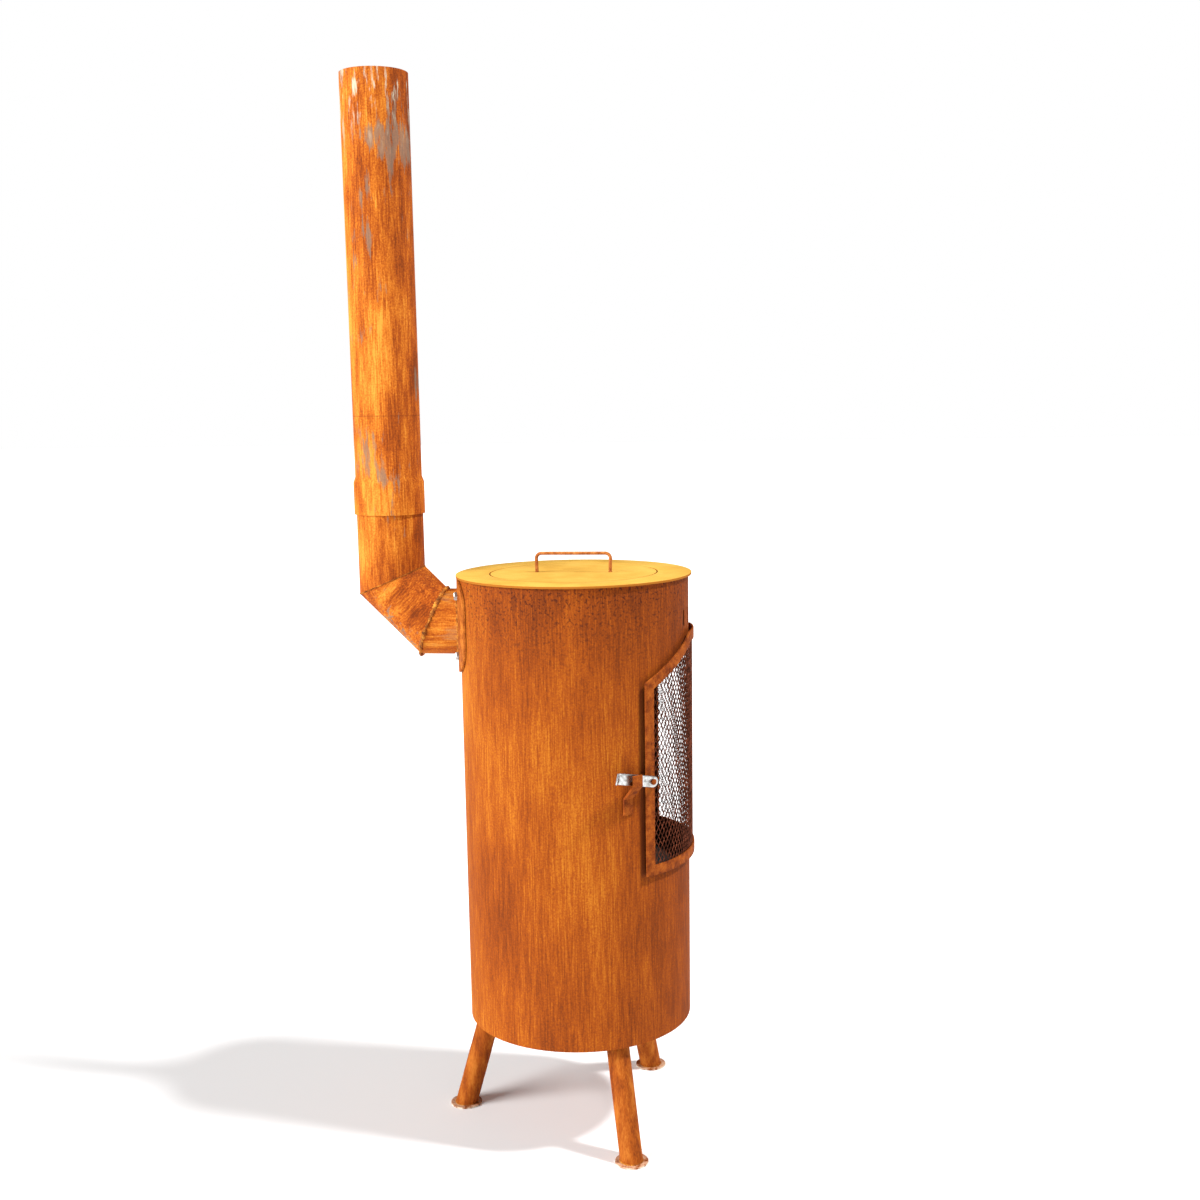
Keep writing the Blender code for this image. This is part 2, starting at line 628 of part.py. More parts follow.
def add_latch(root, door, steel, zinc, end_steps=6, curl_steps=6):
    """The lever on its rivet, and the hook on the drum that it drops into."""
    spacer_low = FRAME_OUTER + GAP
    place = on_drum(LATCH_ANGLE, 0, LATCH_HEIGHT)
    hole = LATCH_RIVET_RADIUS + PIN_CLEARANCE
    spacer = turned_tube(LATCH_HEAD_RADIUS, hole, spacer_low, spacer_low + LATCH_SPACER, SMALL_SEGMENTS)
    add_node("latch_spacer", spacer, steel, door, place)
    tail = FRAME_INNER - GAP
    head = LEVER_FACE + GAP
    profile = [
        (LATCH_TAIL_RADIUS, tail - LATCH_TAIL_HEIGHT),
        (LATCH_TAIL_RADIUS, tail),
        (LATCH_RIVET_RADIUS, tail),
        (LATCH_RIVET_RADIUS, head),
        (LATCH_HEAD_RADIUS, head),
        (LATCH_HEAD_RADIUS, head + LATCH_HEAD_SIDE),
        (LATCH_HEAD_CROWN, head + LATCH_HEAD_SIDE + LATCH_HEAD_DOME),
    ]
    add_node("latch_rivet", turned(profile, SMALL_SEGMENTS, False), steel, door, place)

    half = LATCH_WIDTH / 2
    quarter = math.pi / 2 / (end_steps + 1)
    path = [(-half * math.cos(quarter * (i + 1)), 0) for i in range(end_steps)]
    widths = [math.sqrt(half**2 - x**2) for x, _ in path]
    path += [(half, 0), (LATCH_CURL_START, 0)]
    turn = (LATCH_LENGTH - LATCH_CURL_START) / LATCH_CURL_RADIUS
    for i in range(curl_steps):
        angle = turn * (i + 1) / curl_steps
        path.append((
            LATCH_CURL_START + LATCH_CURL_RADIUS * math.sin(angle),
            LATCH_CURL_RADIUS * (1 - math.cos(angle)),
        ))
    widths += [half] * (len(path) - len(widths))
    reach = (LEVER_BACK + LEVER_FACE) / 2
    pivot = on_drum(LATCH_ANGLE, 0, LATCH_HEIGHT) @ Matrix.Translation((0, 0, reach))
    rest = pivot @ Matrix.Rotation(math.pi - LATCH_REST, 4, "Z")
    lever = add_node("latch_lever", ribbon(path, widths, LATCH_THICKNESS), zinc, door, rest)
    combine(lever, turned_disc(hole, -CUT_MARGIN, CUT_MARGIN, SMALL_SEGMENTS), "DIFFERENCE", pivot)

    prong = LEVER_FACE + KEEPER_CLEARANCE + KEEPER_THICKNESS / 2
    wall = math.sqrt(DRUM_RADIUS**2 - KEEPER_REACH**2)
    foot = wall + KEEPER_THICKNESS / 2 - GAP
    lever_height = LATCH_HEIGHT + KEEPER_REACH * math.tan(LATCH_REST)
    hook_top = lever_height + LATCH_WIDTH / 2 / math.cos(LATCH_REST)
    inner_reach = KEEPER_REACH - KEEPER_WIDTH / 2
    lowest_edge = LATCH_HEIGHT + inner_reach * math.tan(LATCH_REST) - LATCH_WIDTH / 2 / math.cos(LATCH_REST)
    bend = lowest_edge + prong - LEVER_FACE - KEEPER_THICKNESS / 2 / math.sin(math.pi / 4) - KEEPER_SLACK
    knee = bend - (prong - foot)
    path = [(knee - KEEPER_FOOT, foot), (knee, foot), (bend, prong), (hook_top, prong)]
    place = on_drum(LATCH_ANGLE, 0, 0) @ Matrix.Translation((-KEEPER_REACH, 0, 0))
    place = place @ Matrix.Rotation(math.pi / 2, 4, "Z")
    keeper = add_node(
        "latch_keeper", ribbon(path, [KEEPER_WIDTH / 2] * 4, KEEPER_THICKNESS), steel, root, place
    )
    wall_side = turned_disc(DRUM_RADIUS + GAP, DOOR_BOTTOM, DOOR_TOP, 4 * DRUM_SEGMENTS)
    combine(keeper, wall_side, "DIFFERENCE")


def flange_bolt_places():
    """Where the flange's bolts go through, as (angle, height) on the drum."""
    reach = FLUE_RADIUS + FLANGE_BOLT_MARGIN
    spread = math.asin(reach * math.cos(FLANGE_BOLT_SLOPE) / FLANGE_OUTER)
    rise = reach * math.sin(FLANGE_BOLT_SLOPE)
    return [(FLUE_ANGLE + side * spread, FLUE_HEIGHT + level * rise) for side in (-1, 1) for level in (-1, 1)]


def bolt_hole():
    return turned_disc(BOLT_RADIUS + PIN_CLEARANCE, -2 * CUT_MARGIN, 2 * CUT_MARGIN, SMALL_SEGMENTS)


def rounded_reach(angle, half_width, half_height, corner):
    """Distance from a round-cornered rectangle's middle to its edge."""
    way = Vector((abs(math.cos(angle)), abs(math.sin(angle))))
    centre = Vector((half_width - corner, half_height - corner))
    if way.y * half_width <= way.x * centre.y:
        return half_width / way.x
    if way.x * half_height <= way.y * centre.x:
        return half_height / way.y
    foot = way.dot(centre)
    return foot + math.sqrt(foot**2 - centre.length_squared + corner**2)


def saddle_plate(steps=3):
    """A round-cornered plate rolled to the drum's curve, with a straight bore along the flue's axis."""
    bore = FLUE_RADIUS - FLUE_WALL
    half_width = FLUE_RADIUS + FLANGE_SIDE_WIDTH
    half_height = FLUE_RADIUS + FLANGE_TOP_WIDTH
    bm = bmesh.new()
    rings = []
    for surface, order in ((FLANGE_OUTER, range(steps + 1)), (FLANGE_INNER, range(steps, -1, -1))):
        for step in order:
            points = ring(bm, bore, 0, FLUE_SEGMENTS)
            for vert in points:
                angle = math.atan2(vert.co.y, vert.co.x)
                edge = rounded_reach(angle, half_width, half_height, FLANGE_CORNER)
                vert.co *= 1 + (edge / bore - 1) * step / steps
                vert.co.z = math.sqrt(surface**2 - vert.co.x**2)
            rings.append(points)
    return loft(bm, rings, True)


def add_flue(root, steel, zinc):
    level = UP * FLUE_HEIGHT
    out = outward(FLUE_ANGLE)
    flange = add_node("flue_flange", saddle_plate(), steel, root, on_drum(FLUE_ANGLE, 0, FLUE_HEIGHT))
    places = flange_bolt_places()
    for angle, height in places:
        combine(flange, bolt_hole(), "DIFFERENCE", on_drum(angle, DRUM_RADIUS, height))

    first = level + out * FLUE_FIRST_BEND
    second = first + (out + UP) * (FLUE_REACH - FLUE_FIRST_BEND)
    slant = (out + UP).normalized()
    lower_mitre = (out + slant).normalized()
    upper_mitre = (slant + UP).normalized()
    riser_top = CHIMNEY_BOTTOM + SOCKET_DEPTH - GAP
    runs = {
        "flue_stub": (level, out, drum_end(FLANGE_OUTER + GAP), plane_end(first, lower_mitre)),
        "flue_bend": (
            first,
            slant,
            plane_end(first + lower_mitre * GAP, lower_mitre),
            plane_end(second, upper_mitre),
        ),
        "flue_riser": (
            second,
            UP,
            plane_end(second + upper_mitre * GAP, upper_mitre),
            plane_end(UP * riser_top, UP),
        ),
    }
    for name, (start, way, low, high) in runs.items():
        tube = cut_tube(start, way, FLUE_RADIUS, FLUE_RADIUS - FLUE_WALL, low, high, FLUE_SEGMENTS)
        add_node(name, tube, steel, root)

    flat_inside = (DRUM_RADIUS - DRUM_WALL) * math.cos(math.pi / DRUM_SEGMENTS)
    seat = math.sqrt(flat_inside**2 - BOLT_HEAD_RADIUS**2)
    nut_top = seat - FLANGE_OUTER - 2 * GAP
    shank_end = nut_top - NUT_HEIGHT - BOLT_TAIL
    bolt = turned(
        [
            (BOLT_RADIUS, shank_end, 12),
            (BOLT_RADIUS, 0, 12),
            (BOLT_HEAD_RADIUS, 0, 6),
            (BOLT_HEAD_RADIUS, BOLT_HEAD_HEIGHT - BOLT_HEAD_CHAMFER, 6),
            (BOLT_HEAD_RADIUS - BOLT_HEAD_CHAMFER, BOLT_HEAD_HEIGHT, 6),
        ],
        12,
        False,
    )
    bore = BOLT_RADIUS + PIN_CLEARANCE
    nut = turned(
        [
            (BOLT_HEAD_RADIUS, nut_top - NUT_HEIGHT, 6),
            (BOLT_HEAD_RADIUS, nut_top, 6),
            (bore, nut_top, 12),
            (bore, nut_top - NUT_HEIGHT, 12),
        ],
        12,
        True,
    )
    bolt_mesh = bpy.data.meshes.new("flange_bolt")
    bolt.to_mesh(bolt_mesh)
    nut_mesh = bpy.data.meshes.new("flange_nut")
    nut.to_mesh(nut_mesh)
    for i, (angle, height) in enumerate(places):
        place = on_drum(angle, FLANGE_OUTER + GAP, height)
        add_copy(f"flange_bolt_{i + 1}", bolt_mesh, zinc, root, place)
        add_copy(f"flange_nut_{i + 1}", nut_mesh, zinc, root, place)


def add_chimney(root, steel):
    """The chimney pipe, whose widened foot slips over the riser."""
    foot = CHIMNEY_BOTTOM
    shoulder = foot + SOCKET_DEPTH
    neck = shoulder + SOCKET_SHOULDER
    top = foot + CHIMNEY_LENGTH
    socket = FLUE_RADIUS + SOCKET_CLEARANCE
    profile = [
        (socket + SOCKET_WALL, foot),
        (socket + SOCKET_WALL, shoulder),
        (FLUE_RADIUS, neck),
        (FLUE_RADIUS, top),
        (FLUE_RADIUS - CHIMNEY_WALL, top),
        (FLUE_RADIUS - CHIMNEY_WALL, neck),
        (socket, shoulder),
        (socket, foot),
    ]
    axis = outward(FLUE_ANGLE) * FLUE_REACH
    lift = add_pivot("chimney_lift", axis + UP * foot, root)
    pipe = turned(profile, FLUE_SEGMENTS, True)
    add_node("chimney_pipe", pipe, steel, lift, Matrix.Translation(axis))


def centre_footprint(root):
    """Move the whole stove so that the middle of its footprint is at the world's origin."""
    bpy.context.view_layer.update()
    graph = bpy.context.evaluated_depsgraph_get()
    points = []
    for obj in bpy.context.scene.objects:
        if obj.type in ("MESH", "CURVE") and not obj.hide_render:
            solid = obj.evaluated_get(graph)
            points += [solid.matrix_world @ vert.co for vert in solid.to_mesh().vertices]
            solid.to_mesh_clear()
    for axis in (0, 1):
        values = [point[axis] for point in points]
        root.location[axis] = -(min(values) + max(values)) / 2


def build():
    clear_scene()
    steel = make_material("weathering_steel", (0.42, 0.16, 0.04), 0.85, 0.0)
    mesh_steel = make_material("dark_rusted_mesh", (0.10, 0.04, 0.02), 0.8, 0.0)
    rod_steel = make_material("rusted_rod", (0.35, 0.13, 0.04), 0.8, 0.0)
    cast = make_material("cast_iron", (0.05, 0.045, 0.04), 0.7, 0.6)
    zinc = make_material("zinc_plated_steel", (0.70, 0.71, 0.72), 0.35, 1.0)
    root = add_pivot("stove_root", (0, 0, 0))
    add_drum(root, steel)
    add_top(root, steel)
    add_lid(root, steel, rod_steel)
    add_legs(root, steel)
    add_fire_floor(root, steel, cast)
    add_door(root, steel, mesh_steel, zinc)
    add_flue(root, steel, zinc)
    add_chimney(root, steel)
    centre_footprint(root)


build()
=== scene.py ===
import json
import math

import bmesh
import bpy
from mathutils import Matrix, Vector

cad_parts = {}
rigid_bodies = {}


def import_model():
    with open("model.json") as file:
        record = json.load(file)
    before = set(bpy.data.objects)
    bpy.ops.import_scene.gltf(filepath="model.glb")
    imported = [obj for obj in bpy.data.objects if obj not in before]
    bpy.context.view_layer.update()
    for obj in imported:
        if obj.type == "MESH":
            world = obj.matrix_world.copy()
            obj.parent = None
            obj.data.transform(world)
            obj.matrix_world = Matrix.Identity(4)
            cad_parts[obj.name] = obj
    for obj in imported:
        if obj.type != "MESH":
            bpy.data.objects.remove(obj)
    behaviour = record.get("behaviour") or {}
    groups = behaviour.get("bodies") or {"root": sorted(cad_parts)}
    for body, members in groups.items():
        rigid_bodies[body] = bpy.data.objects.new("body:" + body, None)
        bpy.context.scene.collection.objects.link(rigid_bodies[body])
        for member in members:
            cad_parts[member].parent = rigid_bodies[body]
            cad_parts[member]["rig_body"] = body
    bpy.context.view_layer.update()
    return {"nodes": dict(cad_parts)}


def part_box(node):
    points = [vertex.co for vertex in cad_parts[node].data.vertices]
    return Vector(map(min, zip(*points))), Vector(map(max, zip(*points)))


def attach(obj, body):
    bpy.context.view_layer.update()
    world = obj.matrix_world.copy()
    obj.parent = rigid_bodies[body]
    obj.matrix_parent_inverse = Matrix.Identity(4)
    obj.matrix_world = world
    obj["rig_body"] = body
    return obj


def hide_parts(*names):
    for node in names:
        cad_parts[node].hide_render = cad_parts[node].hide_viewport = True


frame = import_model()
print("stove frame loaded,", len(frame["nodes"]), "nodes")


# the sizes that everything below is placed by, all read from the frame

def middleOf(node):
    low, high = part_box(node)
    return (low + high) / 2


def sizeOf(node):
    low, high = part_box(node)
    return high - low


drumMiddle = middleOf("drum_shell")
drumRadius = sizeOf("drum_shell").x / 2
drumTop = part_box("drum_shell")[1].z
drumAxis = Vector((drumMiddle.x, drumMiddle.y, 0))
drumWall = 0.003
flueRadius = sizeOf("flue_stub").x / 2
flueHeight = middleOf("flue_stub").z
flueWall = 0.002
chimneyAxis = Vector((middleOf("chimney_pipe").x, middleOf("chimney_pipe").y, 0))
frameLow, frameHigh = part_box("door_frame")
frameOuter = drumAxis.y - frameLow.y
arcEnds = [math.asin((corner.x - drumAxis.x) / frameOuter) for corner in (frameLow, frameHigh)]


def outward(angle):  # unit vector out of the drum, this far round from the door's middle
    return Vector((math.sin(angle), -math.cos(angle), 0))


def linear(code):  # sRGB hex to the linear colour that Blender's sockets hold
    parts = [int(code[i:i + 2], 16) / 255 for i in (1, 3, 5)]
    return (*[c / 12.92 if c <= 0.04045 else ((c + 0.055) / 1.055) ** 2.4 for c in parts], 1)


def addNode(tree, kind, inputs=None, stops=None, **settings):
    node = tree.nodes.new(kind)
    for name, value in settings.items():
        setattr(node, name, value)
    for socket, value in (inputs or {}).items():
        if isinstance(value, bpy.types.NodeSocket):
            tree.links.new(value, node.inputs[socket])
        else:
            node.inputs[socket].default_value = value
    if stops:
        elements = node.color_ramp.elements
        while len(elements) < len(stops):
            elements.new(1)
        for element, (position, code) in zip(elements, stops):
            element.position = position
            element.color = linear(code)
    return node


def newMaterial(name):
    material = bpy.data.materials.new(name)
    material.use_nodes = True
    return material, material.node_tree, material.node_tree.nodes["Principled BSDF"]


drumCorten = {
    "axis": drumAxis, "turn": (0, 0, 0), "inside": drumRadius - drumWall / 2,
    "dark": "#662C0A", "brown": "#863C0A", "orange": "#9E4D0E", "amber": "#BC701C", "lift": 0.0,
    "streakWidth": 0.0022, "streakLength": 0.05,    # rolling streaks drawn down the sheet
    "bandWidth": 0.030, "cloudSize": 0.22,
    "streaks": 0.85, "bands": 0.50, "clouds": 0.75, "grain": 0.70,
    "brownFrom": drumTop - 0.30, "brownTo": drumTop - 0.02, "brownBy": 0.11, "pits": 0.85,
    "radius": drumRadius, "litSideLift": 0.09, "doorShade": 0.75,  # painted light: lighter towards the flue, on the lamp-lit side; painted shadow round the door
    "scale": 0.0, "scuffsFrom": None, "seam": None,
    # one colour below paints the shadow beside the door's frame
    "pit": "#42190C", "doorShadowColour": "#4A1E0C", "millScale": "#7C6C5C", "rubbed": "#CDBBA2", "soot": "#2B1A12",
}

pipeCorten = {
    **drumCorten,
    "axis": chimneyAxis, "inside": flueRadius - flueWall / 2 - 0.0008,
    "dark": "#74320C", "brown": "#A04A10", "orange": "#C26A1C", "amber": "#DC9236",
    "streakWidth": 0.0025, "streakLength": 0.045, "cloudSize": 0.10,
    "clouds": 1.0, "bands": 0.8, "bandWidth": 0.022,
    "brownBy": 0.0, "pits": 0.0, "scale": 0.70, "scuffsFrom": 1.70, "seam": 1.274,
    # the pipe carries the same painted light, lighter on its flue side
    "radius": flueRadius, "litSideLift": 0.12, "doorShade": 0.0,
}


def cortenSteel(name, look):
    # hot-rolled weathering steel left to rust: a dry, matt orange skin, brown along the rolling marks
    material, tree, shader = newMaterial(name)
    local = addNode(tree, "ShaderNodeTexCoord").outputs["Object"]
    centred = addNode(tree, "ShaderNodeMapping", {"Vector": local, "Location": -look["axis"]}).outputs[0]
    turned = addNode(tree, "ShaderNodeMapping", {"Vector": centred, "Rotation": look["turn"]}).outputs[0]

    def stretched(width, length):
        return addNode(tree, "ShaderNodeMapping", {
            "Vector": turned, "Scale": (1, 1, width / length)}).outputs[0]

    streaks = addNode(tree, "ShaderNodeTexNoise", {
        "Vector": stretched(look["streakWidth"], look["streakLength"]),
        "Scale": 1 / look["streakWidth"], "Detail": 3.0, "Roughness": 0.65}).outputs["Fac"]
    bands = addNode(tree, "ShaderNodeTexNoise", {
        "Vector": stretched(1, 6), "Scale": 1 / look["bandWidth"], "Detail": 4.0,
        "Roughness": 0.6}).outputs["Fac"]
    clouds = addNode(tree, "ShaderNodeTexNoise", {
        "Vector": stretched(1, 1.8), "Scale": 1 / look["cloudSize"], "Detail": 3.0}).outputs["Fac"]
    grain = addNode(tree, "ShaderNodeTexNoise", {
        "Vector": turned, "Scale": 1 / 0.0030, "Detail": 3.0,
        "Roughness": 0.7}).outputs["Fac"]  # rust grit, 3 mm

    weights = [look["streaks"], look["bands"], look["clouds"], look["grain"]]
    tone = 0.5 - sum(weights) / 2 + look["lift"]
    for noise, weight in zip((streaks, bands, clouds, grain), weights):
        tone = addNode(tree, "ShaderNodeMath", {
            0: noise, 1: weight, 2: tone}, operation="MULTIPLY_ADD").outputs[0]

    height = addNode(tree, "ShaderNodeSeparateXYZ", {0: local}).outputs["Z"]
    upper = addNode(tree, "ShaderNodeMapRange", {
        "Value": height, "From Min": look["brownFrom"], "From Max": look["brownTo"],
        "To Max": -look["brownBy"]}, interpolation_type="SMOOTHSTEP").outputs[0]
    tone = addNode(tree, "ShaderNodeMath", {0: tone, 1: upper}, operation="ADD").outputs[0]
    across = addNode(tree, "ShaderNodeSeparateXYZ", {0: centred}).outputs
    # painted light: the tone is raised on the flue side, which the left lamp lights, and lowered on the far
    # side
    paintedLitSide = addNode(tree, "ShaderNodeMapRange", {
        "Value": across["Y"], "From Min": -look["radius"], "From Max": look["radius"],
        "To Min": -look["litSideLift"], "To Max": look["litSideLift"]}).outputs[0]
    tone = addNode(tree, "ShaderNodeMath", {0: tone, 1: paintedLitSide}, operation="ADD").outputs[0]
    colour = addNode(tree, "ShaderNodeValToRGB", {"Fac": tone}, stops=[
        (0.16, look["dark"]), (0.38, look["brown"]), (0.56, look["orange"]),
        (0.80, look["amber"])]).outputs[0]

    # small dark pits, thickest under the top plate
    spots = addNode(tree, "ShaderNodeTexNoise", {
        "Vector": turned, "Scale": 1 / 0.0045, "Detail": 2.0, "Roughness": 0.5}).outputs["Fac"]
    pits = addNode(tree, "ShaderNodeMapRange", {
        "Value": spots, "From Min": 0.55, "From Max": 0.66}).outputs[0]
    pitted = addNode(tree, "ShaderNodeMapRange", {
        "Value": height, "From Min": look["brownTo"] - 0.14, "From Max": look["brownTo"],
        "To Max": look["pits"]}).outputs[0]
    pitShare = addNode(tree, "ShaderNodeMath", {0: pits, 1: pitted}, operation="MULTIPLY").outputs[0]
    colour = addNode(tree, "ShaderNodeMix", {
        "Factor": pitShare, 6: colour, 7: linear(look["pit"])}, data_type="RGBA").outputs[2]

    # painted shadow on the wall beside the door's frame, where the frame stands off it
    if look["doorShade"]:
        behind = addNode(tree, "ShaderNodeMath", {0: across["Y"], 1: -1.0}, operation="MULTIPLY").outputs[0]
        turn = addNode(tree, "ShaderNodeMath", {0: across["X"], 1: behind}, operation="ARCTAN2").outputs[0]
        offMiddle = addNode(tree, "ShaderNodeMath", {
            0: turn, 1: sum(arcEnds) / 2}, operation="SUBTRACT").outputs[0]
        offMiddle = addNode(tree, "ShaderNodeMath", {0: offMiddle}, operation="ABSOLUTE").outputs[0]
        doorHalf = (arcEnds[1] - arcEnds[0]) / 2
        beside = addNode(tree, "ShaderNodeMapRange", {
            "Value": offMiddle, "From Min": doorHalf + 0.055, "From Max": doorHalf + 0.015},
            interpolation_type="SMOOTHSTEP").outputs[0]
        over = addNode(tree, "ShaderNodeMapRange", {
            "Value": height, "From Min": frameLow.z - 0.008, "From Max": frameLow.z + 0.004}).outputs[0]
        under = addNode(tree, "ShaderNodeMapRange", {
            "Value": height, "From Min": frameHigh.z - 0.060, "From Max": frameHigh.z - 0.085}).outputs[0]
        share = addNode(tree, "ShaderNodeMath", {0: beside, 1: over}, operation="MULTIPLY").outputs[0]
        share = addNode(tree, "ShaderNodeMath", {0: share, 1: under}, operation="MULTIPLY").outputs[0]
        share = addNode(tree, "ShaderNodeMath", {
            0: share, 1: look["doorShade"]}, operation="MULTIPLY").outputs[0]
        colour = addNode(tree, "ShaderNodeMix", {
            "Factor": share, 6: colour, 7: linear(look["doorShadowColour"])}, data_type="RGBA").outputs[2]

    # faint rolled seam round the pipe
    if look["seam"]:
        offSeam = addNode(tree, "ShaderNodeMath", {
            0: height, 1: look["seam"]}, operation="SUBTRACT").outputs[0]
        offSeam = addNode(tree, "ShaderNodeMath", {0: offSeam}, operation="ABSOLUTE").outputs[0]
        onSeam = addNode(tree, "ShaderNodeMapRange", {
            "Value": offSeam, "From Min": 0.0014, "From Max": 0.0004, "To Max": 0.45}).outputs[0]
        colour = addNode(tree, "ShaderNodeMix", {
            "Factor": onSeam, 6: colour, 7: linear(look["dark"])}, data_type="RGBA").outputs[2]

    # blue-grey mill scale that hasn't rusted yet, in broken upright flakes
    if look["scale"]:
        flakes = addNode(tree, "ShaderNodeTexNoise", {
            "Vector": stretched(1, 6), "Scale": 1 / 0.010, "Detail": 5.0, "Roughness": 0.65}).outputs["Fac"]
        where = addNode(tree, "ShaderNodeTexNoise", {
            "Vector": turned, "Scale": 1 / 0.11, "Detail": 1.0}).outputs["Fac"]
        both = addNode(tree, "ShaderNodeMath", {0: flakes, 1: where}, operation="MULTIPLY").outputs[0]
        share = addNode(tree, "ShaderNodeMapRange", {
            "Value": both, "From Min": 0.315, "From Max": 0.365, "To Max": look["scale"]}).outputs[0]
        colour = addNode(tree, "ShaderNodeMix", {
            "Factor": share, 6: colour, 7: linear(look["millScale"])}, data_type="RGBA").outputs[2]
        # pale rubbed marks near the open end
        if look["scuffsFrom"]:
            nearTop = addNode(tree, "ShaderNodeMapRange", {
                "Value": height, "From Min": look["scuffsFrom"],
                "From Max": look["scuffsFrom"] + 0.10}).outputs[0]
            rubbed = addNode(tree, "ShaderNodeMapRange", {
                "Value": flakes, "From Min": 0.56, "From Max": 0.66}).outputs[0]
            share = addNode(tree, "ShaderNodeMath", {0: nearTop, 1: rubbed}, operation="MULTIPLY").outputs[0]
            colour = addNode(tree, "ShaderNodeMix", {
                "Factor": share, 6: colour, 7: linear(look["rubbed"])}, data_type="RGBA").outputs[2]

    # soot on the inner wall
    flat = addNode(tree, "ShaderNodeMapping", {"Vector": turned, "Scale": (1, 1, 0)}).outputs[0]
    reach = addNode(tree, "ShaderNodeVectorMath", {0: flat}, operation="LENGTH").outputs["Value"]
    sooty = addNode(tree, "ShaderNodeMath", {0: reach, 1: look["inside"]}, operation="LESS_THAN").outputs[0]
    colour = addNode(tree, "ShaderNodeMix", {
        "Factor": sooty, 6: colour, 7: linear(look["soot"])}, data_type="RGBA").outputs[2]

    tree.links.new(colour, shader.inputs["Base Color"])
    rough = addNode(tree, "ShaderNodeMapRange", {
        "Value": grain, "From Min": 0.3, "From Max": 0.7, "To Min": 0.70, "To Max": 0.92})
    tree.links.new(rough.outputs[0], shader.inputs["Roughness"])
    relief = addNode(tree, "ShaderNodeMath", {0: grain, 1: streaks}, operation="ADD").outputs[0]
    bump = addNode(tree, "ShaderNodeBump", {"Height": relief, "Strength": 0.5, "Distance": 0.0003})
    tree.links.new(bump.outputs[0], shader.inputs["Normal"])
    shader.inputs["Specular IOR Level"].default_value = 0.12
    return material


plateCorten = {"dark": "#B98A34", "middle": "#CB9C40", "light": "#DAAE50", "rim": "#A4621C"}


def flatPlateSteel(name, look):
    # laser-cut weathering steel plate with young rust: an even, powdery yellow-orange bloom
    material, tree, shader = newMaterial(name)
    local = addNode(tree, "ShaderNodeTexCoord").outputs["Object"]
    drawn = addNode(tree, "ShaderNodeMapping", {"Vector": local, "Scale": (1, 0.25, 1)}).outputs[0]
    rolling = addNode(tree, "ShaderNodeTexNoise", {
        "Vector": drawn, "Scale": 1 / 0.006, "Detail": 4.0}).outputs["Fac"]
    clouds = addNode(tree, "ShaderNodeTexNoise", {
        "Vector": local, "Scale": 1 / 0.09, "Detail": 3.0}).outputs["Fac"]
    grain = addNode(tree, "ShaderNodeTexNoise", {
        "Vector": local, "Scale": 1 / 0.0025, "Detail": 2.0}).outputs["Fac"]
    tone = -0.65
    for noise, weight in ((rolling, 0.6), (clouds, 1.1), (grain, 0.6)):
        tone = addNode(tree, "ShaderNodeMath", {
            0: noise, 1: weight, 2: tone}, operation="MULTIPLY_ADD").outputs[0]
    colour = addNode(tree, "ShaderNodeValToRGB", {"Fac": tone}, stops=[
        (0.15, look["dark"]), (0.45, look["middle"]), (0.80, look["light"])]).outputs[0]
    # only the upward faces carry the bloom, the cut edge stays browner
    facing = addNode(tree, "ShaderNodeNewGeometry").outputs["Normal"]
    up = addNode(tree, "ShaderNodeSeparateXYZ", {0: facing}).outputs["Z"]
    edge = addNode(tree, "ShaderNodeMapRange", {"Value": up, "From Min": 0.9, "From Max": 0.4}).outputs[0]
    colour = addNode(tree, "ShaderNodeMix", {
        "Factor": edge, 6: colour, 7: linear(look["rim"])}, data_type="RGBA").outputs[2]
    tree.links.new(colour, shader.inputs["Base Color"])
    shader.inputs["Roughness"].default_value = 0.85
    shader.inputs["Specular IOR Level"].default_value = 0.12
    bump = addNode(tree, "ShaderNodeBump", {"Height": grain, "Strength": 0.3, "Distance": 0.0002})
    tree.links.new(bump.outputs[0], shader.inputs["Normal"])
    return material


